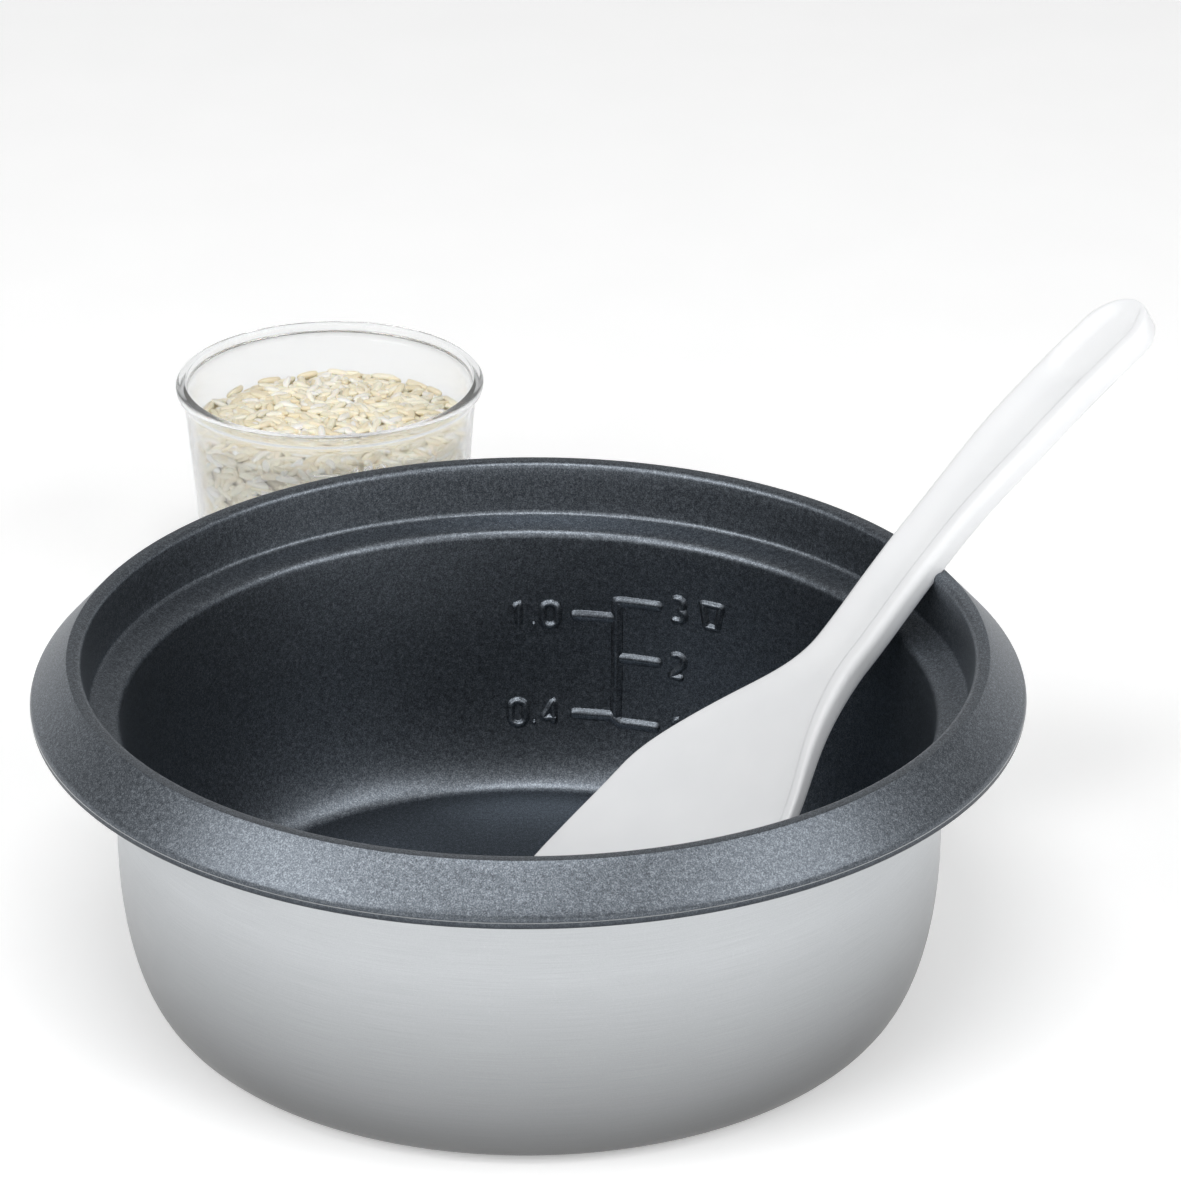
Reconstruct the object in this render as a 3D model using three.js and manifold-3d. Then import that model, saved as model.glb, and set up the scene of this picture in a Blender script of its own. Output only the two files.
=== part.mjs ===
// Inner pot of a small rice cooker, with its serving paddle and a measuring cup of rice.
// Millimetres, +Z up. The origin is the middle of the pot's flat base, on the surface that
// everything stands on, and the pot's axis is Z.

import * as THREE from 'three';
import * as BufferGeometryUtils from 'three/addons/utils/BufferGeometryUtils.js';
import Module from 'manifold-3d';

const wasm = await Module();
wasm.setup();

const DEG = Math.PI / 180;
const GAP = 0.25; // clearance left between two pieces that touch

// Pot: one sheet that runs from the base up the wall, steps out at a ledge to a wider neck,
// folds over the crest of the rim and ends in a conical skirt.
const POT_HEIGHT = 80;
const BODY_RADIUS = 90.5;
const CREST_RADIUS = 99.8;
const SKIRT_RADIUS = 107.9;
const SKIRT_DROP = 10.4; // from the crest down to the skirt's edge
const CORNER_REACH = 10.5; // the bottom corner is a quarter ellipse: across
const CORNER_RISE = 35; // and up
const NECK_DEPTH = 13.2; // from the crest down to the ledge
const NECK_RADIUS = 97.5;
const LEDGE_FALL = 2.1; // the ledge slopes down towards the wall
const SHELL_THICKNESS = 1.2;
const LINING_THICKNESS = 0.4;
const SHEET = SHELL_THICKNESS + GAP + LINING_THICKNESS;
const POT_SEGMENTS = 52;
const CORNER_STEPS = 6;
const ARC_STEPS = 2;
// The under face of the sheet: its roundings, and how far its corners lie inside the outer ones.
const WALL_TOP_ROUNDING = 0.7;
const NECK_ROUNDING = 2.6;
const CREST_ROUNDING = 0.3;
const CREST_SINK = SHEET * 0.8;
const EDGE_INSET = SHEET * 0.83;
const EDGE_SINK = SHEET * 0.55;

// Level scale: a raised upright bar with a tick for each level, on the inside of the wall.
const SCALE_ANGLE = 76.4 * DEG; // the bar's place around the pot, from +X
const SCALE_STROKE = 1.5;
const SCALE_RELIEF = 0.5;
const SCALE_ROOT = 0.2; // how far a stroke is sunk into the lining
const STROKE_BLOCK = 20; // depth of the block that a stroke is cut from
const TICK_LENGTH = 10.5;
const CUP_LEVELS = [ 17.8, 34.2, 48.9 ]; // heights of 1, 2 and 3 cups above the base
const LITRE_LEVELS = [ 19.3, 44.5 ];

// Paddle: a moulded channel with side walls, which flares to a dished blade. Stations along its
// length are measured from the place where it lies on the rim, positive towards the blade's tip.
const RIM_PLACE = 25.5 * DEG; // where the handle crosses the rim, around Z
const PADDLE_TURN = 30.8 * DEG; // the way the handle points, around Z
const PADDLE_LEAN = 43.1 * DEG; // the handle's rise above level at the rim
const PADDLE_SEAT = 5.2; // height of the middle of the paddle's depth above the crest
const HANDLE_LENGTH = 71.5;
const HANDLE_HALF_WIDTH = 8.2;
const HANDLE_SPREAD = 1.3; // how much wider each side is towards the end
const SPREAD_START = - 4;
const SPREAD_END = - 34;
const HANDLE_DEPTH = 5; // over the side walls
const HANDLE_BEND = -0.00305; // radians of bend for each millimetre
const HANDLE_GROOVE = 0.9;
const BLADE_TIP = 130.5;
const BLADE_HALF_WIDTH = 28.8;
const BLADE_DEPTH = 2.9;
const BLADE_BEND = 0.00286;
const BLADE_DISH = 3; // the blade's sides stand this far above its middle
const FLARE_START = 32.5;
const FLARE_END = 83;
const TIP_ROUNDING = 23;
const TIP_FULLNESS = 0.97; // below 1, so that the tip ends in a short straight edge
const END_HALF_WIDTH = 2; // of the flat that closes the handle's round end
const NECK_SWAY = 1.7; // the narrow part lies this far to one side of the blade's middle
const SWAY_PLACE = 54;
const SWAY_REACH = 14;
const BEND_CHANGE = 21; // the station where the handle's bend gives way to the blade's
const WEB = 2.2; // thickness between the side walls
const EDGE_ROUNDING = 0.4;
const GROOVE_SIDES = [ 0.45, 0.8 ]; // where the groove's floor ends and its sides end
const TOP_SHARES = [ - 1, - 0.8, - 0.5, 0, 0.5, 0.8, 1 ]; // points across, as shares of half the width
const WEB_SHARES = [ 0.72, 0.4, 0, - 0.4, - 0.72 ];
const WALL_SHARE = 0.8; // the side walls' inner faces
const END_STEPS = [ 0, 1.2, 3, 5.5, 9, 13 ];
const TIP_STEPS = [ 0, 0.35, 0.6, 0.8, 0.93, 1 ];
const BODY_STEPS = 20;

// Measuring cup with a rounded bottom and a small flat foot, behind the pot.
const CUP_PLACE = new THREE.Vector2( - 50, 196 );
const CUP_HEIGHT = 60;
const CUP_RIM_RADIUS = 39;
const CUP_RIM_BEAD = 2.6;
const CUP_WALL = 1.5;
const CUP_MOUTH_RADIUS = 37.4;
const CUP_SHOULDER_RADIUS = 34.6; // where the straight wall meets the round bottom
const CUP_SHOULDER_HEIGHT = 27;
const CUP_FOOT_RADIUS = 13;
const CUP_SEGMENTS = 40;
const BOWL_STEPS = 7;
const BEAD_ROUNDING = 0.7;
const RICE_HEIGHT = 48;
const RICE_CROWN = 3;

// A sheet's line in the r-z plane, with each marked corner rounded to an arc.
function roundedLine( corners ) {

	const line = [];
	corners.forEach( ( [ r, z, radius = 0 ], index ) => {

		const corner = new THREE.Vector2( r, z );
		if ( radius === 0 ) {

			line.push( corner );
			return;

		}

		const [ before, after ] = [ corners[ index - 1 ], corners[ index + 1 ] ]
			.map( ( [ x, y ] ) => new THREE.Vector2( x, y ).sub( corner ).normalize() );
		const halfAngle = Math.acos( before.dot( after ) ) / 2;
		const centre = before.clone().add( after ).normalize()
			.multiplyScalar( radius / Math.sin( halfAngle ) ).add( corner );
		const [ start, end ] = [ before, after ].map( ( way ) => way
			.clone().multiplyScalar( radius / Math.tan( halfAngle ) ).add( corner ).sub( centre ) );
		const sweep = Math.atan2( start.cross( end ), start.dot( end ) );
		for ( let step = 0; step <= ARC_STEPS; step ++ ) {

			const turned = start.clone().rotateAround( new THREE.Vector2(), sweep * step / ARC_STEPS );
			line.push( turned.add( centre ) );

		}

	} );
	return line;

}

// The same line moved to its left by a distance.
function offsetLine( line, distance ) {

	return line.map( ( point, index ) => {

		const before = line[ Math.max( index - 1, 0 ) ];
		const after = line[ Math.min( index + 1, line.length - 1 ) ];
		const ways = [ point.clone().sub( before ), after.clone().sub( point ) ]
			.filter( ( way ) => way.length() > 0 ).map( ( way ) => way.normalize() );
		const way = ways.reduce( ( sum, next ) => sum.clone().add( next ) ).normalize();
		const mitre = distance / Math.max( way.dot( ways[ 0 ] ), 0.5 );
		return new THREE.Vector2( Math.max( point.x - way.y * mitre, 0 ), point.y + way.x * mitre );

	} );

}

// A solid of revolution about Z between two lines that both start on the axis.
function latheBetween( outer, inner, segments ) {

	const profile = [ ...outer, ...inner.slice().reverse() ];
	const geometry = new THREE.LatheGeometry( profile, segments );
	geometry.rotateX( Math.PI / 2 );
	return geometry;

}

// The triangles that close a flat section, as places in it. The section runs clockwise about
// the way it faces when seen from outside at the loft's end, and the other way at its start.
function capTriangles( section, atEnd ) {

	const normal = section.reduce( ( sum, point, index ) => sum.add(
		point.clone().cross( section[ ( index + 1 ) % section.length ] ) ), new THREE.Vector3() );
	const out = normal.normalize().multiplyScalar( atEnd ? - 1 : 1 );
	const across = section[ 1 ].clone().sub( section[ 0 ] ).normalize();
	const up = out.clone().cross( across );
	const flat = section.map( ( point ) => new THREE.Vector2( point.dot( across ), point.dot( up ) ) );
	return THREE.ShapeUtils.triangulateShape( flat, [] ).map( ( [ a, b, c ] ) => {

		const turn = flat[ b ].clone().sub( flat[ a ] ).cross( flat[ c ].clone().sub( flat[ a ] ) );
		return turn > 0 ? [ a, b, c ] : [ a, c, b ];

	} );

}

// The solid that passes through a row of closed sections with equal numbers of points.
function loft( sections ) {

	const count = sections[ 0 ].length;
	const positions = sections.flat().flatMap( ( point ) => point.toArray() );
	const indices = [];
	for ( let row = 0; row < sections.length - 1; row ++ ) {

		for ( let column = 0; column < count; column ++ ) {

			const next = ( column + 1 ) % count;
			const [ a, b ] = [ row * count + column, row * count + next ];
			indices.push( a, b + count, b, a, a + count, b + count );

		}

	}

	const last = sections.length - 1;
	indices.push( ...capTriangles( sections[ 0 ], false ).flat() );
	const endCap = capTriangles( sections[ last ], true ).flat();
	indices.push( ...endCap.map( ( place ) => place + last * count ) );

	const geometry = new THREE.BufferGeometry();
	geometry.setAttribute( 'position', new THREE.Float32BufferAttribute( positions, 3 ) );
	geometry.setIndex( indices );
	geometry.computeVertexNormals();
	return geometry;

}

function toSolid( geometry ) {

	const plain = geometry.clone();
	plain.deleteAttribute( 'normal' );
	plain.deleteAttribute( 'uv' );
	const merged = BufferGeometryUtils.mergeVertices( plain, 1e-4 );
	return new wasm.Manifold( new wasm.Mesh( {
		numProp: 3,
		vertProperties: new Float32Array( merged.attributes.position.array ),
		triVerts: new Uint32Array( merged.index.array )
	} ) );

}

function toGeometry( solid ) {

	const mesh = solid.getMesh();
	const geometry = new THREE.BufferGeometry();
	geometry.setAttribute( 'position', new THREE.BufferAttribute( mesh.vertProperties, 3 ) );
	geometry.setIndex( new THREE.BufferAttribute( mesh.triVerts, 1 ) );
	geometry.computeVertexNormals();
	return geometry;

}

function piece( name, geometry, look ) {

	const mesh = new THREE.Mesh( geometry, new THREE.MeshStandardMaterial( look ) );
	mesh.name = name;
	return mesh;

}

// The under and outer face of the pot's sheet, from the axis out to the skirt's edge.
function potLine() {

	const corner = new THREE.EllipseCurve(
		BODY_RADIUS - CORNER_REACH, CORNER_RISE, CORNER_REACH, CORNER_RISE, - Math.PI / 2, 0 );
	return roundedLine( [
		[ 0, 0 ],
		...corner.getPoints( CORNER_STEPS ).map( ( { x, y } ) => [ x, y ] ),
		[ BODY_RADIUS, POT_HEIGHT - NECK_DEPTH - LEDGE_FALL, WALL_TOP_ROUNDING ],
		[ NECK_RADIUS, POT_HEIGHT - NECK_DEPTH, NECK_ROUNDING ],
		[ CREST_RADIUS, POT_HEIGHT - CREST_SINK, CREST_ROUNDING ],
		[ SKIRT_RADIUS - EDGE_INSET, POT_HEIGHT - SKIRT_DROP - EDGE_SINK ],
	] );

}

function potShell() {

	const under = potLine();
	const geometry = latheBetween( under, offsetLine( under, SHELL_THICKNESS ), POT_SEGMENTS );
	return piece( 'pot_shell', geometry, { color: 0xb9bdbf, roughness: 0.38, metalness: 0.9 } );

}

// The block that holds one stroke of the level scale. Across is measured along the wall from
// the upright bar.
function strokeBlock( across, height, length, rise ) {

	const block = new THREE.BoxGeometry( STROKE_BLOCK, length, rise );
	block.translate( BODY_RADIUS, 0, height );
	block.rotateZ( SCALE_ANGLE - across / BODY_RADIUS );
	return toSolid( block );

}

// All the strokes, cut to a thin relief that follows the wall's face.
function levelScale( under ) {

	const levels = [ ...CUP_LEVELS, ...LITRE_LEVELS ];
	const bottom = Math.min( ...levels ) - SCALE_STROKE / 2;
	const top = Math.max( ...levels ) + SCALE_STROKE / 2;
	const bar = strokeBlock( 0, ( bottom + top ) / 2, SCALE_STROKE, top - bottom );
	const tickPlace = TICK_LENGTH / 2;
	const ticks = [
		...CUP_LEVELS.map( ( level ) => [ tickPlace, level ] ),
		...LITRE_LEVELS.map( ( level ) => [ - tickPlace, level ] ),
	];
	const strokes = ticks.reduce(
		( joined, [ across, level ] ) => joined.add(
			strokeBlock( across, level, TICK_LENGTH, SCALE_STROKE ) ),
		bar );
	const root = offsetLine( under, SHEET - SCALE_ROOT );
	const crown = offsetLine( under, SHEET + SCALE_RELIEF );
	return strokes.intersect( toSolid( latheBetween( root, crown, POT_SEGMENTS ) ) );

}

function nonstickLining() {

	const under = potLine();
	const back = offsetLine( under, SHELL_THICKNESS + GAP );
	const face = offsetLine( under, SHEET );
	const skin = toSolid( latheBetween( back, face, POT_SEGMENTS ) );
	return piece( 'nonstick_lining', toGeometry( skin.add( levelScale( under ) ) ),
		{ color: 0x3c4147, roughness: 0.5, metalness: 0.35 } );

}

// The paddle's middle surface bends in the plane of its length and its thickness. This gives
// the place and the direction of its centre line at each station, in the paddle's own frame:
// x towards the blade's tip, y across and z out of the blade's face.
function paddleStation( station ) {

	const place = new THREE.Vector3();
	let angle = 0;
	const follow = ( length, bend ) => {

		const turned = angle + bend * length;
		place.x += ( Math.sin( turned ) - Math.sin( angle ) ) / bend;
		place.z += ( Math.cos( angle ) - Math.cos( turned ) ) / bend;
		angle = turned;

	};

	follow( Math.min( station, BEND_CHANGE ), HANDLE_BEND );
	follow( Math.max( station - BEND_CHANGE, 0 ), BLADE_BEND );
	place.y = - NECK_SWAY * Math.exp( - ( ( ( station - SWAY_PLACE ) / SWAY_REACH ) ** 2 ) );
	return { place, angle };

}

function paddleHalfWidth( station ) {

	const flare = THREE.MathUtils.smoothstep( station, FLARE_START, FLARE_END );
	const spread = HANDLE_SPREAD * ( 1 - THREE.MathUtils.smoothstep( station, SPREAD_END, SPREAD_START ) );
	const width = THREE.MathUtils.lerp( HANDLE_HALF_WIDTH + spread, BLADE_HALF_WIDTH, flare );
	const fromEnd = station + HANDLE_LENGTH;
	const endRadius = HANDLE_HALF_WIDTH + HANDLE_SPREAD;
	if ( fromEnd < endRadius ) {

		const inside = endRadius - fromEnd;
		return Math.sqrt( Math.max( endRadius ** 2 - inside ** 2, END_HALF_WIDTH ** 2 ) );

	}

	const intoTip = Math.max( station - ( BLADE_TIP - TIP_ROUNDING ), 0 );
	return width - TIP_ROUNDING + Math.sqrt( TIP_ROUNDING ** 2 - TIP_FULLNESS * intoTip ** 2 );

}

// One closed section: the top face from side to side, then back along the side walls and the
// web between them.
function paddleSection( station ) {

	const { place, angle } = paddleStation( station );
	const { smoothstep, lerp } = THREE.MathUtils;
	const halfWidth = paddleHalfWidth( station );
	const blade = smoothstep( station, FLARE_START, FLARE_END );
	const half = lerp( HANDLE_DEPTH, BLADE_DEPTH, blade ) / 2;
	const dish = ( share ) => BLADE_DISH * blade * share ** 2;
	const groove = ( share ) => HANDLE_GROOVE * ( 1 - blade )
		* ( 1 - smoothstep( Math.abs( share ), ...GROOVE_SIDES ) );
	const point = ( share, height ) => new THREE.Vector3( 0, share * halfWidth, height + dish( share ) )
		.applyAxisAngle( new THREE.Vector3( 0, 1, 0 ), - angle ).add( place );
	const top = TOP_SHARES.map( ( share ) => point(
		share, half - groove( share ) - EDGE_ROUNDING * ( Math.abs( share ) === 1 ) ) );
	const wall = ( side ) => [ point( side, - half ), point( side * WALL_SHARE, - half ) ];
	const web = WEB_SHARES.map( ( share ) => point( share, half - WEB - groove( share ) / 2 ) );
	return [ ...top, ...wall( 1 ), ...web, ...wall( - 1 ).reverse() ];

}

function paddle() {

	const nearEnd = END_STEPS.map( ( distance ) => distance - HANDLE_LENGTH );
	const bodyStart = nearEnd[ nearEnd.length - 1 ];
	const tipStart = BLADE_TIP - TIP_ROUNDING;
	const middle = Array.from( { length: BODY_STEPS - 1 }, ( _, step ) => THREE.MathUtils.lerp(
		bodyStart, tipStart, ( step + 1 ) / BODY_STEPS ) );
	const nearTip = TIP_STEPS.map( ( share ) => tipStart + TIP_ROUNDING * share );
	const stations = [ ...nearEnd, ...middle, ...nearTip ];
	const mesh = piece( 'paddle', loft( stations.map( paddleSection ) ),
		{ color: 0xf2f2f0, roughness: 0.3, metalness: 0 } );
	const down = new THREE.Vector3(
		- Math.cos( PADDLE_TURN ) * Math.cos( PADDLE_LEAN ),
		- Math.sin( PADDLE_TURN ) * Math.cos( PADDLE_LEAN ),
		- Math.sin( PADDLE_LEAN ) );
	const across = new THREE.Vector3( Math.sin( PADDLE_TURN ), - Math.cos( PADDLE_TURN ), 0 );
	const out = down.clone().cross( across );
	mesh.setRotationFromMatrix( new THREE.Matrix4().makeBasis( down, across, out ) );
	mesh.position.set(
		CREST_RADIUS * Math.cos( RIM_PLACE ),
		CREST_RADIUS * Math.sin( RIM_PLACE ),
		POT_HEIGHT + PADDLE_SEAT );
	return mesh;

}

// The cup's outer line from the axis up to the rim, or one inside it by a wall's thickness.
function cupLine( inset, top ) {

	const foot = CUP_FOOT_RADIUS - inset / 2;
	const radius = CUP_SHOULDER_RADIUS - inset;
	const bottom = new THREE.EllipseCurve(
		foot, CUP_SHOULDER_HEIGHT, radius - foot, CUP_SHOULDER_HEIGHT - inset, - Math.PI / 2, 0 );
	const mouth = CUP_MOUTH_RADIUS - inset;
	const share = ( top - CUP_SHOULDER_HEIGHT ) / ( CUP_HEIGHT - CUP_SHOULDER_HEIGHT );
	return [
		new THREE.Vector2( 0, inset ),
		...bottom.getPoints( BOWL_STEPS ),
		new THREE.Vector2( THREE.MathUtils.lerp( radius, mouth, share ), top ),
	];

}

function measuringCup() {

	const beadBottom = CUP_HEIGHT - CUP_RIM_BEAD;
	const outer = cupLine( 0, beadBottom );
	const bead = [
		new THREE.Vector2( CUP_RIM_RADIUS - BEAD_ROUNDING / 2, beadBottom ),
		new THREE.Vector2( CUP_RIM_RADIUS, beadBottom + BEAD_ROUNDING ),
		new THREE.Vector2( CUP_RIM_RADIUS, CUP_HEIGHT - BEAD_ROUNDING ),
		new THREE.Vector2( CUP_RIM_RADIUS - BEAD_ROUNDING, CUP_HEIGHT ),
	];
	const geometry = latheBetween(
		[ ...outer, ...bead ], cupLine( CUP_WALL, CUP_HEIGHT ), CUP_SEGMENTS );
	return piece( 'measuring_cup', geometry, { color: 0xeef0f0, roughness: 0.1, metalness: 0 } );

}

// The rice as one settled mass that fills the cup's inside up to a slightly crowned top.
function riceFill() {

	const side = cupLine( CUP_WALL + GAP, RICE_HEIGHT );
	const edge = side[ side.length - 1 ];
	const crown = [ 0.66, 0.33, 0 ].map( ( share ) => new THREE.Vector2(
		edge.x * share, RICE_HEIGHT + RICE_CROWN * ( 1 - share ** 2 ) ) );
	const geometry = new THREE.LatheGeometry( [ ...side, ...crown ], CUP_SEGMENTS );
	geometry.rotateX( Math.PI / 2 );
	return piece( 'rice_fill', geometry, { color: 0xe9dfc8, roughness: 0.7, metalness: 0 } );

}

const pot = new THREE.Group();
pot.add( potShell(), nonstickLining() );

const cup = new THREE.Group();
cup.add( measuringCup(), riceFill() );
cup.position.set( CUP_PLACE.x, CUP_PLACE.y, 0 );

const part = new THREE.Group();
part.add( pot, paddle(), cup );

export default part;
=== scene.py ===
"""Inner pot of a small rice cooker, its serving paddle and a clear measuring cup of rice.

The frame is the CAD model's: metres, +Z up, the origin in the middle of the pot's base, and
the usual view looks along +Y. Lengths here are written in millimetres times MM.
"""
import math
import random

import bpy
import numpy as np
from mathutils import Matrix, Vector


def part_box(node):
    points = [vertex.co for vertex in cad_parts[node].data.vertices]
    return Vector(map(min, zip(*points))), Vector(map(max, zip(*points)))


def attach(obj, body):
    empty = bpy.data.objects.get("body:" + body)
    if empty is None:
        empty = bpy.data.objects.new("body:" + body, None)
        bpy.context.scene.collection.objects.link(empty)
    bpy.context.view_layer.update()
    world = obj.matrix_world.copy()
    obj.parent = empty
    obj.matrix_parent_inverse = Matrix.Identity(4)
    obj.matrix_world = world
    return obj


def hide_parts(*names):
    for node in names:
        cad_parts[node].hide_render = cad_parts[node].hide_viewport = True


MM = 0.001
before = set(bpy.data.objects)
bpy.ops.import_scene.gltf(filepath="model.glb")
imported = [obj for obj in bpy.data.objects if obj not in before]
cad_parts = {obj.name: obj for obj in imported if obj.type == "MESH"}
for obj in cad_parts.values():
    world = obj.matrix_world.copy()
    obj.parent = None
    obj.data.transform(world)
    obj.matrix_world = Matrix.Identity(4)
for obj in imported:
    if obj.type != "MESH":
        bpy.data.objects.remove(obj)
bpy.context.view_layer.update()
CUP_LOW, CUP_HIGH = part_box("measuring_cup")

# ---------------------------------------------------------------- driving dimensions
# The pot. The sheet is aluminium with the coating on its inner and upper face.
POT_HEIGHT = 80 * MM
BODY_RADIUS = 90.5 * MM
SHEET = 1.85 * MM
WALL_RADIUS = BODY_RADIUS - SHEET
CREST_RADIUS = 99.8 * MM
CREST_BAND = 3.1 * MM
SKIRT_RADIUS = 107.9 * MM
SKIRT_EDGE = 69.5 * MM
CORNER_REACH = 10.5 * MM
CORNER_RISE = 35 * MM
LEDGE_HEIGHT = 65.6 * MM
NECK_RADIUS = 95.6 * MM
LINING_DEPTH = 0.5 * MM
POT_SEGMENTS = 288

# The level scale: where it is, the heights of its marks, and (width, relief) of its strokes.
SCALE_ANGLE = math.radians(76.4)
CUP_LEVELS = [17.8 * MM, 34.2 * MM, 48.9 * MM]
LITRE_LEVELS = [19.3 * MM, 44.5 * MM]
TICK_START = 1.2 * MM
TICK_END = 11.2 * MM
BAR_STROKE = (2.4 * MM, 0.65 * MM)
GLYPH_STROKE = (1.7 * MM, 0.75 * MM)
GLYPH_SIZE = (3.5 * MM, 5.8 * MM)
GLYPH_STEP = 5.0 * MM
LABEL_GAP = 2 * MM
LITRE_LABEL = 14.2 * MM
SIGN_GAP = 8 * MM
BEAD_STEP = 0.45 * MM
BEAD_SPREAD = 0.62
BEAD_SHARPNESS = 1.6
BEAD_ROOT = 0.2 * MM
BEAD_SHARES = (-1, -0.8, -0.6, -0.4, -0.2, 0, 0.2, 0.4, 0.6, 0.8, 1)

# The paddle. Stations run along its centre line, from the pot's rim towards the blade's tip,
# and the handle's stations are negative. Pairs are (on the handle, on the blade).
RIM_PLACE = math.radians(25.5)
PADDLE_TURN = math.radians(30.8)
PADDLE_LEAN = math.radians(43.1)
PADDLE_SEAT = 5.2 * MM
HANDLE_LENGTH = 71.5 * MM
HANDLE_HALF_WIDTH = 8.2 * MM
HANDLE_SPREAD = 1.3 * MM
SPREAD_START = -4 * MM
SPREAD_END = -34 * MM
END_RADIUS = HANDLE_HALF_WIDTH + HANDLE_SPREAD
HANDLE_DEPTH = 5 * MM
HANDLE_BEND = -3.05
BLADE_TIP = 130.5 * MM
BLADE_HALF_WIDTH = 28.8 * MM
BLADE_DEPTH = 2.9 * MM
BLADE_BEND = 2.86
BLADE_DISH = 3 * MM
FLARE_START = 32.5 * MM
FLARE_END = 83 * MM
TIP_LENGTH = 23 * MM
TIP_FULLNESS = 2.6
TIP_FADE = 35 * MM
TIP_THICKNESS = 1.7 * MM
EDGE_ROUNDING = (1.9 * MM, 0.8 * MM)
CREASE_PLACE = (4.2 * MM, 3.1 * MM)
CREASE_SLOPE = (0.75 * MM, 0.6 * MM)
GROOVE_DEPTH = (1.0 * MM, 0.55 * MM)
SIDE_WALL = (1.9 * MM, 1.4 * MM)
WEB = (2.2 * MM, 1.9 * MM)
PAD_LENGTH = 25 * MM
PAD_ARCH = 9 * MM
PAD_STEP = 0.7 * MM
PAD_DEPTH = 0.55 * MM
NECK_SWAY = 1.7 * MM
SWAY_PLACE = 54 * MM
SWAY_REACH = 14 * MM
BEND_CHANGE = 21 * MM
END_STEPS, BODY_STEPS, TIP_STEPS = 12, 110, 22
LAST_SHARE = 0.9995

# The measuring cup, its marks and its rice.
CUP_CENTRE = Vector(((CUP_LOW.x + CUP_HIGH.x) / 2, (CUP_LOW.y + CUP_HIGH.y) / 2, 0))
CUP_HEIGHT = 60 * MM
CUP_RIM_RADIUS = 39 * MM
CUP_BEAD = 2.6 * MM
CUP_WALL = 1.1 * MM
CUP_MOUTH_RADIUS = 37.4 * MM
CUP_SHOULDER_RADIUS = 34.6 * MM
CUP_SHOULDER_HEIGHT = 27 * MM
CUP_FOOT_RADIUS = 13 * MM
CUP_SEGMENTS = 192
CUP_MARKS = [(("1", "6", "0"), 49 * MM), (("8", "0"), 30 * MM)]
CUP_MARKS_ANGLE = math.radians(-80)
CUP_STROKE = (0.55 * MM, 0.22 * MM)
CUP_GLYPH_SIZE = (2.1 * MM, 3.4 * MM)
CUP_GLYPH_STEP = 3 * MM
CUP_TICK = (-9 * MM, -3 * MM)
RICE_HEIGHT = 47.5 * MM
RICE_CROWN = 3 * MM
GRAIN_LENGTH = 6.8 * MM
GRAIN_RADIUS = 1.02 * MM
GRAIN_AREA = 6.0 * MM * MM
TOP_GRAINS = 1150
CORE_DEPTH = 2.8 * MM


# ---------------------------------------------------------------- lines and solids
def rounded_line(corners, steps=6):
    """Points along straight runs between corners (x, y, radius), with each radius as an arc."""
    line = []
    for index, (x, y, radius) in enumerate(corners):
        corner = Vector((x, y))
        if radius == 0:
            line.append(corner)
            continue
        before = (Vector(corners[index - 1][:2]) - corner).normalized()
        after = (Vector(corners[index + 1][:2]) - corner).normalized()
        half = before.angle(after) / 2
        centre = corner + (before + after).normalized() * radius / math.sin(half)
        start = corner + before * radius / math.tan(half) - centre
        end = corner + after * radius / math.tan(half) - centre
        sweep = math.atan2(start.x * end.y - start.y * end.x, start.dot(end))
        for step in range(steps + 1):
            line.append(centre + Matrix.Rotation(sweep * step / steps, 2) @ start)
    return line


def offset_line(line, distance):
    """The line moved to its left by a distance."""
    moved = []
    for index, point in enumerate(line):
        ways = []
        if index > 0:
            ways.append((point - line[index - 1]).normalized())
        if index < len(line) - 1:
            ways.append((line[index + 1] - point).normalized())
        way = sum(ways, Vector((0, 0))).normalized()
        mitre = distance / max(way.dot(ways[0]), 0.5)
        moved.append(Vector((max(point.x - way.y * mitre, 0), point.y + way.x * mitre)))
    return moved


def smooth(value, start, end):
    """0 before start, 1 after end, and a smooth rise between them."""
    share = min(max((value - start) / (end - start), 0), 1)
    return share * share * (3 - 2 * share)


def mix(first, second, share):
    return first + (second - first) * share


def split_runs(line, longest):
    """The same line with points added so that no step is longer than the given length."""
    result = [line[0]]
    for start, end in zip(line, line[1:]):
        parts = max(1, math.ceil((end - start).length / longest))
        result += [start.lerp(end, part / parts) for part in range(1, parts + 1)]
    return result


def revolve(profile, segments, centre=Vector((0, 0, 0))):
    """Vertices and faces of a closed (radius, height) profile turned about Z, poles merged."""
    vertices, rings, faces = [], [], []
    for radius, height in profile:
        if radius < 1e-7:
            rings.append([len(vertices)] * segments)
            vertices.append(centre + Vector((0, 0, height)))
            continue
        rings.append(list(range(len(vertices), len(vertices) + segments)))
        for step in range(segments):
            turn = 2 * math.pi * step / segments
            vertices.append(centre + Vector((radius * math.cos(turn), radius * math.sin(turn), height)))
    pairs = zip(rings, rings[1:] + rings[:1])
    for lower, upper in pairs:
        for step in range(segments):
            after = (step + 1) % segments
            face = [lower[step], lower[after], upper[after], upper[step]]
            face = [v for place, v in enumerate(face) if v != face[place - 1]]
            if len(face) > 2:
                faces.append(face)
    return vertices, faces


def piece(name, shape, material, body, replaces=()):
    """A smooth-shaded object from vertices and faces, riding on a body."""
    vertices, faces = shape
    mesh = bpy.data.meshes.new(name)
    mesh.from_pydata([tuple(v) for v in vertices], [], faces)
    mesh.validate()
    mesh.polygons.foreach_set("use_smooth", [True] * len(mesh.polygons))
    mesh.materials.append(material)
    obj = bpy.data.objects.new(name, mesh)
    bpy.context.scene.collection.objects.link(obj)
    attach(obj, body)
    if replaces:
        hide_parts(*replaces)
    return obj


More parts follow.
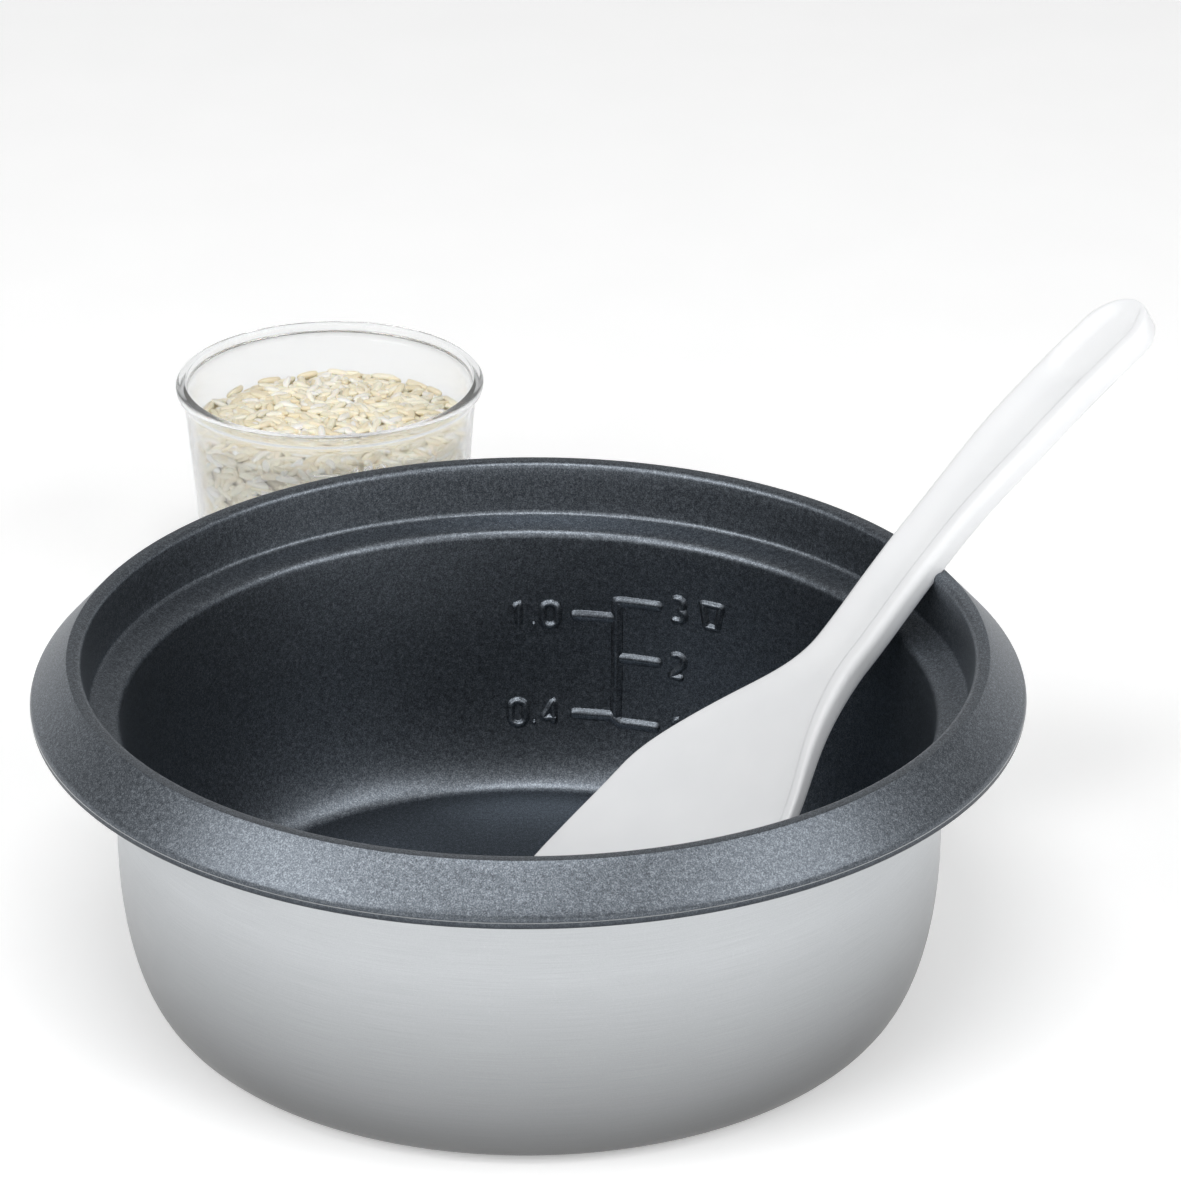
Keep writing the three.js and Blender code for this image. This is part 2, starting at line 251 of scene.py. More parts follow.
def loft(sections, ring=False):
    """Vertices and faces of a skin through closed sections: flat ends, or a ring without ends."""
    count, rows = len(sections[0]), len(sections)
    vertices = [point for section in sections for point in section]
    faces = []
    for row in range(rows if ring else rows - 1):
        here, there = row * count, (row + 1) % rows * count
        for column in range(count):
            after = (column + 1) % count
            faces.append([here + column, here + after, there + after, there + column])
    if not ring:
        faces.append(list(reversed(range(count))))
        faces.append(list(range((rows - 1) * count, rows * count)))
    return vertices, faces


def joined(shapes):
    """One shape from several."""
    vertices, faces = [], []
    for shape_vertices, shape_faces in shapes:
        start = len(vertices)
        vertices += list(shape_vertices)
        faces += [[index + start for index in face] for face in shape_faces]
    return vertices, faces


class Wall:
    """A wall of revolution that strokes are laid on: a profile line about an upright axis."""

    def __init__(self, line, centre, facing):
        self.heights = np.array([point.y for point in line])
        self.radii = np.array([point.x for point in line])
        self.centre = centre
        self.facing = facing

    def frame(self, angle, height):
        """A point of the wall and the way out of its face."""
        step = 0.2 * MM
        low, radius, high = np.interp([height - step, height, height + step], self.heights, self.radii)
        out = Vector((2 * step, -(high - low))).normalized() * self.facing
        radial = Vector((math.cos(angle), math.sin(angle), 0))
        point = self.centre + radial * radius + Vector((0, 0, height))
        return point, radial * out.x + Vector((0, 0, out.y))

    def bead(self, route, angle, reach, size):
        """A rounded raised stroke along a route of (across, height) points on the wall."""
        width, relief = size
        dense = split_runs([Vector(point) for point in route], BEAD_STEP)
        closed = (dense[0] - dense[-1]).length < 0.01 * MM
        length = sum((b - a).length for a, b in zip(dense, dense[1:]))
        places = [self.frame(angle - point.x / reach, point.y) for point in dense]
        sections, travelled = [], 0
        for index, (point, out) in enumerate(places):
            last = len(places) - 1
            ahead = places[1 if closed and index == last else min(index + 1, last)][0]
            behind = places[last - 1 if closed and index == 0 else max(index - 1, 0)][0]
            side = out.cross(ahead - behind).normalized()
            travelled += (dense[index] - dense[max(index - 1, 0)]).length
            to_end = width if closed else min(travelled, length - travelled)
            swell = math.sqrt(max(1 - (1 - min(to_end / (width / 2), 1)) ** 2, 0.02))
            crown = [(share, relief * math.cos(math.pi / 2 * share) ** BEAD_SHARPNESS)
                     for share in BEAD_SHARES]
            root = [(0.6, -BEAD_ROOT), (-0.6, -BEAD_ROOT)]
            sections.append([point + side * (width * BEAD_SPREAD * swell * share) + out * (height * swell)
                             for share, height in [*crown, *root]])
        return loft(sections[:-1], ring=True) if closed else loft(sections)


def arc(centre_x, centre_y, radius_x, radius_y, start, end, steps=9):
    """Points of an elliptical arc, in degrees."""
    turns = (math.radians(mix(start, end, step / steps)) for step in range(steps + 1))
    return [(centre_x + radius_x * math.cos(t), centre_y + radius_y * math.sin(t)) for t in turns]


GLYPHS = {
    "0": [[*arc(0.5, 0.72, 0.5, 0.28, 0, 180), *arc(0.5, 0.28, 0.5, 0.28, 180, 360), (1, 0.72)]],
    "1": [[(0.2, 0.74), (0.6, 1), (0.6, 0)]],
    "2": [[*arc(0.5, 0.72, 0.47, 0.28, 160, -35), (0.05, 0), (1, 0)]],
    "3": [arc(0.48, 0.75, 0.42, 0.25, 150, -90), arc(0.48, 0.26, 0.5, 0.26, 90, -150)],
    "4": [[(0.72, 0), (0.72, 1), (0, 0.28), (1, 0.28)]],
    "6": [[*arc(0.5, 0.72, 0.48, 0.28, 40, 180), *arc(0.5, 0.29, 0.48, 0.29, 180, 540)]],
    "8": [arc(0.5, 0.76, 0.4, 0.24, -90, 270, 16), arc(0.5, 0.26, 0.5, 0.26, 90, 450, 16)],
    ".": [[(0.05, 0.07), (0.3, 0.07)]],
    "cup": [[(0, 1), (0.3, 0), (1.1, 0), (1.4, 1), (0, 1)]],
}


def write_on(wall, signs, start, height, angle, reach, size, stroke, step):
    """Beads for a row of signs, the first one's left edge at start, centred on a height."""
    shapes = []
    for sign in signs:
        for route in GLYPHS[sign]:
            placed = [(start + x * size[0], height + (y - 0.5) * size[1]) for x, y in route]
            shapes.append(wall.bead(placed, angle, reach, stroke))
        start += step * (0.55 if sign == "." else 1)
    return shapes


# ---------------------------------------------------------------- materials
class Shader:
    """A small helper that adds nodes to one material and links them."""

    def __init__(self, name):
        self.material = bpy.data.materials.new(name)
        self.material.use_nodes = True
        self.tree = self.material.node_tree
        self.bsdf = self.tree.nodes["Principled BSDF"]

    def node(self, kind, inputs=(), **settings):
        made = self.tree.nodes.new(kind)
        for key, value in settings.items():
            setattr(made, key, value)
        for key, value in dict(inputs).items():
            if isinstance(value, bpy.types.NodeSocket):
                self.tree.links.new(value, made.inputs[key])
            else:
                made.inputs[key].default_value = value
        return made

    def set(self, **values):
        for key, value in values.items():
            socket = self.bsdf.inputs[key.replace("_", " ")]
            if isinstance(value, bpy.types.NodeSocket):
                self.tree.links.new(value, socket)
            else:
                socket.default_value = value

    def place(self):
        return self.node("ShaderNodeTexCoord").outputs["Object"]

    def noise(self, vector, scale, detail=3.0, roughness=0.55):
        inputs = {"Vector": vector, "Scale": scale, "Detail": detail, "Roughness": roughness}
        return self.node("ShaderNodeTexNoise", inputs).outputs["Fac"]

    def ramp(self, factor, *stops):
        made = self.node("ShaderNodeValToRGB", {"Fac": factor})
        elements = made.color_ramp.elements
        while len(elements) < len(stops):
            elements.new(0.5)
        for element, (position, color) in zip(elements, stops):
            element.position = position
            element.color = color if len(color) == 4 else (*color, 1)
        return made.outputs["Color"]

    def spread(self, factor, low, high, start=0.0, end=1.0):
        inputs = {"Value": factor, "From Min": start, "From Max": end, "To Min": low, "To Max": high}
        return self.node("ShaderNodeMapRange", inputs).outputs["Result"]

    def mix(self, factor, first, second, blend="MIX"):
        made = self.node("ShaderNodeMix", data_type="RGBA", blend_type=blend)
        for socket, value in (("Factor", factor), ("A", first), ("B", second)):
            target = [i for i in made.inputs if i.name == socket and i.enabled][0]
            if isinstance(value, bpy.types.NodeSocket):
                self.tree.links.new(value, target)
            else:
                target.default_value = value if isinstance(value, float) else (*value, 1)
        return [o for o in made.outputs if o.enabled][0]

    def bump(self, height, strength, distance):
        inputs = {"Height": height, "Strength": strength, "Distance": distance}
        return self.node("ShaderNodeBump", inputs).outputs["Normal"]


def around_axis(shader, along, up):
    """Object coordinates wound round Z, as (angle times along, height times up)."""
    parts = shader.node("ShaderNodeSeparateXYZ", {"Vector": shader.place()})
    sides = {0: parts.outputs["Y"], 1: parts.outputs["X"]}
    angle = shader.node("ShaderNodeMath", sides, operation="ARCTAN2")
    wide = shader.node("ShaderNodeMath", {0: angle.outputs[0], 1: along}, operation="MULTIPLY")
    tall = shader.node("ShaderNodeMath", {0: parts.outputs["Z"], 1: up}, operation="MULTIPLY")
    wound = shader.node("ShaderNodeCombineXYZ", {"X": wide.outputs[0], "Y": tall.outputs[0]})
    return wound.outputs["Vector"]


def brushed_aluminium():
    """Satin metal brushed round the pot, a little scratched, with painted shade darkening it towards its
    base.
    """
    shader = Shader("satin_aluminium")
    rings = shader.noise(around_axis(shader, 5.0, 5200.0), 1.0, 4.0, 0.65)
    scratches = shader.noise(around_axis(shader, 90.0, 260.0), 1.0, 5.0, 0.75)
    grain = shader.noise(shader.place(), 4200.0, 2.0)
    patches = shader.noise(shader.place(), 26.0, 3.0)
    tone = shader.mix(0.4, rings, grain)
    satin = shader.ramp(tone, (0.3, (0.435, 0.452, 0.468)), (0.7, (0.55, 0.568, 0.582)))
    worn = shader.spread(scratches, 0.0, 0.35, 0.62, 0.8)
    bare = shader.mix(worn, satin, (0.70, 0.712, 0.72))
    # painted shade: the base colour darkens towards the pot's base, strongest at 2 mm and gone by 48 mm up
    height = shader.node("ShaderNodeSeparateXYZ", {"Vector": shader.place()}).outputs["Z"]
    painted_base_shade = shader.spread(height, 0.9, 0.0, 2 * MM, 48 * MM)
    shader.set(Base_Color=shader.mix(painted_base_shade, bare, (0.13, 0.13, 0.13)), Metallic=1.0)
    shader.set(Roughness=shader.spread(patches, 0.30, 0.38, 0.3, 0.7), Anisotropic=0.55)
    tangent = shader.node("ShaderNodeTangent", direction_type="RADIAL", axis="Z")
    shader.set(Tangent=tangent.outputs["Tangent"])
    shader.set(Normal=shader.bump(tone, 0.1, 0.0002))
    return shader.material


def nonstick_coating():
    """Dark metallic speckle, with painted shade on the skirt's lower edge."""
    shader = Shader("nonstick_coating")
    flakes = shader.noise(shader.place(), 3300.0, 2.0, 0.7)
    coarse = shader.noise(shader.place(), 1100.0, 2.0, 0.6)
    sparkle = shader.mix(0.3, flakes, coarse)
    color = shader.ramp(sparkle, (0.36, (0.084, 0.094, 0.107)), (0.5, (0.155, 0.174, 0.198)),
                        (0.66, (0.32, 0.352, 0.385)))
    # painted shade: near black on the skirt's lower edge, outside the crest and up to 2.6 mm above the
    # skirt edge
    parts = shader.node("ShaderNodeSeparateXYZ", {"Vector": shader.place()})
    flat = shader.node("ShaderNodeCombineXYZ", {"X": parts.outputs["X"], "Y": parts.outputs["Y"]})
    radius = shader.node("ShaderNodeVectorMath", {0: flat.outputs["Vector"]}, operation="LENGTH")
    outside = shader.spread(radius.outputs["Value"], 0.0, 0.8, CREST_RADIUS, CREST_RADIUS + 4 * MM)
    low = shader.spread(parts.outputs["Z"], 1.0, 0.0, SKIRT_EDGE - 0.4 * MM, SKIRT_EDGE + 2.6 * MM)
    edge = shader.node("ShaderNodeMath", {0: outside, 1: low}, operation="MULTIPLY")
    shader.set(Base_Color=shader.mix(edge.outputs[0], color, (0.02, 0.024, 0.03)), Metallic=1.0)
    shader.set(Roughness=shader.spread(coarse, 0.37, 0.45, 0.3, 0.7))
    shader.set(Normal=shader.bump(sparkle, 0.1, 0.00015))
    return shader.material


def white_plastic():
    shader = Shader("paddle_plastic")
    cloud = shader.noise(shader.place(), 55.0, 2.0)
    skin = shader.noise(shader.place(), 1500.0, 2.0)
    color = shader.ramp(cloud, (0.3, (0.855, 0.865, 0.877)), (0.7, (0.89, 0.898, 0.908)))
    shader.set(Base_Color=color, Roughness=shader.spread(skin, 0.42, 0.52, 0.3, 0.7))
    shader.set(Subsurface_Weight=0.4, Subsurface_Radius=(0.005, 0.005, 0.005), IOR=1.49)
    shader.set(Normal=shader.bump(skin, 0.05, 0.0001))
    return shader.material


def clear_plastic():
    """Slightly hazy clear plastic."""
    shader = Shader("cup_plastic")
    waves = shader.noise(shader.place(), 90.0, 2.0)
    shader.set(Base_Color=(0.97, 0.98, 0.985, 1), Roughness=0.1, IOR=1.4)
    shader.set(Transmission_Weight=0.92)
    shader.set(Normal=shader.bump(waves, 0.06, 0.0006))
    return shader.material


def rice_grain():
    """Ivory to chalk-white grains, each grain of its own tint."""
    shader = Shader("rice_grain")
    island = shader.node("ShaderNodeNewGeometry").outputs["Random Per Island"]
    streak = shader.noise(shader.place(), 420.0, 2.0)
    tint = shader.ramp(island, (0.0, (0.87, 0.76, 0.54)), (0.3, (0.93, 0.85, 0.65)),
                       (0.72, (0.96, 0.91, 0.76)), (0.86, (0.97, 0.94, 0.87)), (1.0, (0.98, 0.97, 0.95)))
    color = shader.mix(shader.spread(streak, 0.0, 0.4, 0.35, 0.7), tint, (0.94, 0.88, 0.73))
    shader.set(Base_Color=color, Roughness=0.36, IOR=1.45)
    shader.set(Subsurface_Weight=0.22, Subsurface_Radius=(0.0012, 0.0009, 0.0006))
    shader.set(Normal=shader.bump(streak, 0.15, 0.0002))
    return shader.material


def rice_core():
    shader = Shader("rice_core")
    clumps = shader.noise(shader.place(), 500.0, 3.0)
    color = shader.ramp(clumps, (0.35, (0.76, 0.67, 0.48)), (0.65, (0.90, 0.83, 0.66)))
    shader.set(Base_Color=color, Roughness=0.7, Normal=shader.bump(clumps, 0.6, 0.001))
    return shader.material


# ---------------------------------------------------------------- pot
def pot_corners():
    """The upper part of the pot's visible face: wall, ledge, neck, crest, skirt and curled edge."""
    return [
        (WALL_RADIUS, CORNER_RISE, 0),
        (WALL_RADIUS, LEDGE_HEIGHT, 2.2 * MM),
        (NECK_RADIUS, LEDGE_HEIGHT + 1.9 * MM, 1.3 * MM),
        (CREST_RADIUS - CREST_BAND, POT_HEIGHT - 0.15 * MM, 1.5 * MM),
        (CREST_RADIUS, POT_HEIGHT, 0.3 * MM),
        (SKIRT_RADIUS, SKIRT_EDGE + 1.6 * MM, 2.0 * MM),
        (SKIRT_RADIUS, SKIRT_EDGE - 0.9 * MM, 0.6 * MM),
        (SKIRT_RADIUS - 3.2 * MM, SKIRT_EDGE - 0.4 * MM, 0),
    ]


def pot_line(inset, curled=True):
    """The pot's visible face, or a line inside its sheet at a depth, from the axis outwards.

    A line that isn't curled stops on the skirt, just short of its edge.
    """
    corner_steps = (math.pi / 2 * step / 14 for step in range(15))
    under = [Vector((0, 0)), *[
        Vector((BODY_RADIUS - CORNER_REACH * (1 - math.sin(turn)), CORNER_RISE * (1 - math.cos(turn))))
        for turn in corner_steps]]
    inner = offset_line(under, SHEET - inset)[:-1]
    corners = pot_corners() if curled else pot_corners()[:6]
    points = [Vector(corner[:2]) for corner in corners]
    moved = offset_line(points, -inset)
    rounded = []
    for index, (point, corner) in enumerate(zip(moved, corners)):
        radius = corner[2]
        if 0 < index < len(points) - 1:
            back, on = points[index] - points[index - 1], points[index + 1] - points[index]
            turns_left = back.x * on.y - back.y * on.x > 0
            radius = max(radius + (inset if turns_left else -inset), 0.05 * MM)
        else:
            radius = 0
        rounded.append((point.x, point.y, radius))
    if not curled:
        crest, edge = Vector(rounded[-2][:2]), Vector(rounded[-1][:2])
        stop = crest.lerp(edge, (crest.y - SKIRT_EDGE - 0.7 * MM) / (crest.y - edge.y))
        rounded[-1] = (stop.x, stop.y, 0)
    return split_runs([*inner, *rounded_line(rounded)], 3 * MM)


def make_pot(metal, coating):
    lining = revolve([*pot_line(0), *reversed(pot_line(LINING_DEPTH))], POT_SEGMENTS)
    piece("nonstick_lining_surface", lining, coating, "pot", ["nonstick_lining"])
    top = pot_line(LINING_DEPTH + 0.02 * MM, curled=False)
    shell = revolve([*pot_line(SHEET, curled=False), *reversed(top)], POT_SEGMENTS)
    piece("pot_shell_surface", shell, metal, "pot", ["pot_shell"])


def make_scale(coating):
    """The raised level scale inside the pot: a bar, ticks, numbers and a small cup outline."""
    inner_wall = [point for point in pot_line(0)[1:] if point.y < LEDGE_HEIGHT - 3 * MM]
    wall = Wall(inner_wall, Vector((0, 0, 0)), -1)
    first, second, third = CUP_LEVELS
    low, high = LITRE_LEVELS
    routes = [
        [(-TICK_END, low), (-TICK_START, low), (TICK_START, first), (TICK_END, first)],
        [(0, (first + low) / 2), (0, third), (TICK_END, third)],
        [(0, second), (TICK_END, second)],
        [(-TICK_END, high), (0, high)],
    ]
    shapes = [wall.bead(route, SCALE_ANGLE, WALL_RADIUS, BAR_STROKE) for route in routes]
    right = TICK_END + LABEL_GAP
    left = -TICK_END - LITRE_LABEL
    labels = [("1", right, first), ("2", right, second), ("3", right, third),
              (("0", ".", "4"), left, low), (("1", ".", "0"), left, high),
              (("cup",), right + SIGN_GAP, third)]
    for signs, start, height in labels:
        shapes += write_on(wall, signs, start, height, SCALE_ANGLE, WALL_RADIUS,
                           GLYPH_SIZE, GLYPH_STROKE, GLYPH_STEP)
    piece("level_scale", joined(shapes), coating, "pot")


# ---------------------------------------------------------------- paddle
def paddle_frame(station):
    """Place of the paddle's centre line in its own frame, and the angle of its bend."""
    place = Vector((0, 0, 0))
    turned = 0
    for start, end, bend in ((0, min(station, BEND_CHANGE), HANDLE_BEND),
                             (BEND_CHANGE, max(station, BEND_CHANGE), BLADE_BEND)):
        after = turned + bend * (end - start)
        place.x += (math.sin(after) - math.sin(turned)) / bend
        place.z += (math.cos(turned) - math.cos(after)) / bend
        turned = after
    return place, turned


def paddle_half_width(station):
    from_end = station + HANDLE_LENGTH
    if from_end < END_RADIUS:
        return math.sqrt(END_RADIUS ** 2 - (END_RADIUS - from_end) ** 2)
    handle = HANDLE_HALF_WIDTH + HANDLE_SPREAD * (1 - smooth(station, SPREAD_END, SPREAD_START))
    width = mix(handle, BLADE_HALF_WIDTH, smooth(station, FLARE_START, FLARE_END))
    into_tip = max(station - BLADE_TIP + TIP_LENGTH, 0) / TIP_LENGTH
    return width * (1 - into_tip ** TIP_FULLNESS) ** (1 / TIP_FULLNESS)


def paddle_section(station):
    """One closed section of the paddle, as points in its own frame.

    The top face has a groove between the side walls. On the blade only the wall on the
    positive side stays, as a low rolled edge. The back is hollow between the walls.
    """
    half_width = paddle_half_width(station)
    from_end = station + HANDLE_LENGTH
    blade = smooth(station, FLARE_START, FLARE_END)
    to_tip = smooth(station, BLADE_TIP - TIP_FADE, BLADE_TIP)
    scale = min(1, half_width / HANDLE_HALF_WIDTH)
    half = mix(mix(HANDLE_DEPTH, BLADE_DEPTH, blade), TIP_THICKNESS, to_tip) / 2
    edge = mix(*EDGE_ROUNDING, blade) * scale
    crease = mix(*CREASE_PLACE, blade) * scale
    slope = mix(*CREASE_SLOPE, blade) * scale
    groove_depth = mix(*GROOVE_DEPTH, blade) * (1 - to_tip) * smooth(from_end, 0.5 * MM, 6 * MM)
    into_pad = smooth(from_end, 1 * MM, 7 * MM)

    def groove(y):
        pad_end = PAD_LENGTH - (y / END_RADIUS) ** 2 * PAD_ARCH
        in_pad = 1 - smooth(from_end, pad_end - PAD_STEP, pad_end + PAD_STEP)
        left_side = mix(crease, 1.5 * edge, in_pad)
        left = mix(smooth(half_width + y, 0.3 * left_side, 2.1 * left_side), 1, blade)
        right = smooth(half_width - y, crease - slope, crease + slope)
        return (groove_depth + PAD_DEPTH * in_pad * into_pad) * left * right

    def dish(y):
        return BLADE_DISH * blade * (y / half_width) ** 2 * (1 - 0.5 * to_tip)

    def top(y):
        to_edge = max(half_width - abs(y), 0)
        rounding = edge - math.sqrt(max(edge ** 2 - max(edge - to_edge, 0) ** 2, 0))
        return half - groove(y) - rounding + dish(y)

    edge_steps = [edge * (1 - math.cos(math.pi / 2 * step / 5)) for step in range(6)]
    crease_steps = [crease + slope * step for step in (-1.2, -0.7, -0.3, 0, 0.3, 0.7, 1.2)]
    fan_steps = [crease * step for step in (0.6, 0.8, 1, 1.25, 1.5, 1.8, 2.1)]
    left = [-half_width + step for step in edge_steps + fan_steps]
    right = [half_width - step for step in reversed(edge_steps + crease_steps)]
    middle = [mix(left[-1], right[0], step / 12) for step in range(1, 12)]
    face = [(y, top(y)) for y in [*left, *middle, *right]]

    wall = min(mix(*SIDE_WALL, blade), half_width * 0.45)
    end_wall = max(END_RADIUS - wall, 0) ** 2 - max(END_RADIUS - from_end, 0) ** 2
    inside = min(half_width - wall, math.sqrt(max(end_wall, 0)))
    inside = max(inside, 0.1 * MM) * (1 if station < BLADE_TIP - 30 * MM else scale)
    web = mix(*WEB, blade)
    hollow = smooth(inside, 0.5 * MM, 2 * MM) * (1 - to_tip)
    lip = 0.5 * MM * scale
    floor = -half + dish(half_width)

    def under(y):
        return mix(-half + dish(y), max(top(y) - web, -half + dish(y)), hollow)

    side = [(half_width, mix(face[-1][1], floor + lip, 0.5)), (half_width, floor + lip),
            (half_width - 0.3 * lip, floor + 0.3 * lip), (half_width - lip, floor),
            (mix(half_width - lip, inside, 0.8), -half + dish(inside))]
    back = [(y, under(y)) for y in (inside * share for share in (0.97, 0.8, 0.6, 0.4, 0.2, 0))]
    half_loop = [*side, (inside, -half + dish(inside) + 0.2 * lip), *back]
    mirrored = [(-y, height) for y, height in reversed(half_loop[:-1])]
    mirrored[-2:] = [(-half_width, floor + lip), (-half_width, mix(face[0][1], floor + lip, 0.5))]
    place, angle = paddle_frame(station)
    place.y -= NECK_SWAY * math.exp(-((station - SWAY_PLACE) / SWAY_REACH) ** 2)
    bend = Matrix.Rotation(-angle, 3, "Y")
    return [place + bend @ Vector((0, y, height)) for y, height in [*face, *half_loop, *mirrored]]


def make_paddle(plastic):
    near_end = [END_RADIUS * (1 - math.cos(math.pi / 2 * step / END_STEPS))
                for step in range(1, END_STEPS + 1)]
    near_tip = [TIP_LENGTH * math.sin(math.pi / 2 * step / TIP_STEPS) * LAST_SHARE
                for step in range(1, TIP_STEPS + 1)]
    tip_start = BLADE_TIP - TIP_LENGTH
    stations = [step - HANDLE_LENGTH for step in near_end]
    body = (tip_start - stations[-1]) / BODY_STEPS
    stations += [stations[-1] + body * step for step in range(1, BODY_STEPS + 1)]
    stations += [tip_start + step for step in near_tip]
    down = Vector((-math.cos(PADDLE_TURN) * math.cos(PADDLE_LEAN),
                   -math.sin(PADDLE_TURN) * math.cos(PADDLE_LEAN), -math.sin(PADDLE_LEAN)))
    across = Vector((math.sin(PADDLE_TURN), -math.cos(PADDLE_TURN), 0))
    axes = Matrix((down, across, down.cross(across))).transposed()
    seat = Vector((CREST_RADIUS * math.cos(RIM_PLACE), CREST_RADIUS * math.sin(RIM_PLACE),
                   POT_HEIGHT + PADDLE_SEAT))
    vertices, faces = loft([paddle_section(station) for station in stations])
    shape = ([seat + axes @ vertex for vertex in vertices], faces)
    piece("paddle_body", shape, plastic, "paddle", ["paddle"])


# ---------------------------------------------------------------- measuring cup and rice
def cup_line(inset, top):
    """The cup's outer line, or one inside it, from the axis up to a height."""
    foot = CUP_FOOT_RADIUS - inset / 2
    shoulder = CUP_SHOULDER_RADIUS - inset
    turns = [math.pi / 2 * step / 24 for step in range(25)]
    bowl = [Vector((foot + (shoulder - foot) * math.sin(turn),
                    CUP_SHOULDER_HEIGHT - (CUP_SHOULDER_HEIGHT - inset) * math.cos(turn)))
            for turn in turns]
    share = (top - CUP_SHOULDER_HEIGHT) / (CUP_HEIGHT - CUP_SHOULDER_HEIGHT)
    mouth = Vector((mix(shoulder, CUP_MOUTH_RADIUS - inset, share), top))
    return split_runs([Vector((0, inset)), *bowl, mouth], 3 * MM)


def make_cup(plastic):
    outer = cup_line(0, CUP_HEIGHT - CUP_BEAD)
    inner = cup_line(CUP_WALL, CUP_HEIGHT - 0.6 * MM)
    bead = rounded_line([
        (outer[-1].x, outer[-1].y, 0),
        (CUP_RIM_RADIUS, CUP_HEIGHT - CUP_BEAD, 0.9 * MM),
        (CUP_RIM_RADIUS, CUP_HEIGHT, 1.1 * MM),
        (inner[-1].x, CUP_HEIGHT, 0.5 * MM),
        (inner[-1].x, inner[-1].y, 0),
    ])
    body = revolve([*outer[:-1], *bead, *reversed(inner[:-1])], CUP_SEGMENTS, CUP_CENTRE)
    piece("measuring_cup_body", body, plastic, "cup", ["measuring_cup"])
    wall = Wall(outer[1:], CUP_CENTRE, 1)
    reach = -CUP_SHOULDER_RADIUS
    shapes = []
    for signs, level in CUP_MARKS:
        tick = [(across, level) for across in CUP_TICK]
        shapes.append(wall.bead(tick, CUP_MARKS_ANGLE, reach, CUP_STROKE))
        shapes += write_on(wall, signs, 0, level, CUP_MARKS_ANGLE, reach,
                           CUP_GLYPH_SIZE, CUP_STROKE, CUP_GLYPH_STEP)
    piece("cup_marks", joined(shapes), plastic, "cup")


def grain_shape():
    """Unit grain of rice along X: a tapered, slightly bent body, as vertices and faces."""
    rings = [(-1, 0.14), (-0.95, 0.46), (-0.8, 0.76), (-0.45, 0.96), (0, 1.0),
             (0.45, 0.95), (0.78, 0.74), (0.95, 0.42), (1, 0.12)]
    sides = 8
    vertices = [
        Vector((along, thick * math.cos(turn), 0.82 * thick * math.sin(turn) - 0.22 * along ** 2))
        for along, thick in rings
        for turn in (2 * math.pi * side / sides for side in range(sides))]
    _, faces = loft([vertices[row * sides:(row + 1) * sides] for row in range(len(rings))])
    return np.array(vertices), np.array(faces[:-2]), [faces[-2], faces[-1]]


def grains(places):
    """One shape of many grains, from (point, way along, way out, length share) tuples."""
    unit, sides, ends = grain_shape()
    vertices, faces = [], []
    for point, along, out, size in places:
        side = out.cross(along).normalized()
        axes = np.array([along * GRAIN_LENGTH / 2 * size, side * GRAIN_RADIUS, out * GRAIN_RADIUS])
        start = len(vertices) * len(unit)
        vertices.append(unit @ axes + np.array(point))
        faces += (sides + start).tolist() + [[index + start for index in end] for end in ends]
    return np.concatenate(vertices).tolist(), faces


def crown_height(radius, edge):
    return RICE_HEIGHT + RICE_CROWN * (1 - (radius / edge) ** 2)


def make_rice(grain, core):
    """Grains laid against the cup's wall, then a crown of grains on top, round a solid core."""
    draw = random.Random(11)
    side_line = cup_line(CUP_WALL + 0.15 * MM, RICE_HEIGHT)
    edge = side_line[-1].x
    places = []
    for start, end in zip(side_line[1:], side_line[2:]):
        middle, way = (start + end) / 2, (end - start).normalized()
        area = 2 * math.pi * middle.x * (end - start).length
        for _ in range(max(1, round(area / GRAIN_AREA))):
            turn = draw.uniform(0, 2 * math.pi)
            radial = Vector((math.cos(turn), math.sin(turn), 0))
            level = Vector((-math.sin(turn), math.cos(turn), 0))
            up = radial * way.x + Vector((0, 0, way.y))
            out = level.cross(up) * -1
            near_top = smooth(middle.y, RICE_HEIGHT - 7 * MM, RICE_HEIGHT - 1 * MM)
            lean = draw.gauss(0, mix(0.75, 0.08, near_top))
            along = (level * math.cos(lean) + up * math.sin(lean)).normalized()
            depth = GRAIN_RADIUS * draw.uniform(1.1, 1.9)
            point = start.lerp(end, draw.random())
            centre = CUP_CENTRE + radial * point.x + Vector((0, 0, point.y)) + out * depth
            places.append((centre, along, out, draw.uniform(0.82, 1.08)))
    for index in range(TOP_GRAINS):
        radius = (edge - 2.6 * MM) * math.sqrt((index + 0.5) / TOP_GRAINS)
        turn = index * math.pi * (3 - math.sqrt(5)) + draw.uniform(-0.2, 0.2)
        yaw = draw.uniform(0, 2 * math.pi)
        pitch = draw.gauss(0, 0.22)
        point = CUP_CENTRE + Vector((radius * math.cos(turn), radius * math.sin(turn), 0))
        point.z = crown_height(radius, edge) - draw.uniform(0.9, 3.0) * MM
        flat = math.cos(pitch)
        along = Vector((math.cos(yaw) * flat, math.sin(yaw) * flat, math.sin(pitch)))
        out = along.cross(Vector((-math.sin(yaw), math.cos(yaw), 0)))
        places.append((point, along, out, draw.uniform(0.82, 1.08)))
    piece("rice_grains", grains(places), grain, "cup", ["rice_fill"])
    inside = cup_line(CUP_WALL + 2.6 * MM, RICE_HEIGHT - CORE_DEPTH)
    heap = [Vector((inside[-1].x * share, crown_height(inside[-1].x * share, edge) - CORE_DEPTH))
            for share in (0.75, 0.5, 0.25, 0)]
    piece("rice_mass", revolve([*inside, *heap], 96, CUP_CENTRE), core, "cup")


# ---------------------------------------------------------------- stage, light and camera
# Name, azimuth from +Y towards +X, elevation, distance, (width, height) and power of each box.
SOFTBOXES = [
    ("top_box", -172, 70, 1.3, (0.6, 0.4), 5.5),
    ("left_box", -122, 36, 1.6, (1.1, 0.8), 9.8),
    ("right_box", 119, 36, 1.6, (1.1, 0.8), 7.8),
    ("low_box", 180, 6, 1.5, (1.4, 0.25), 1.1),
]
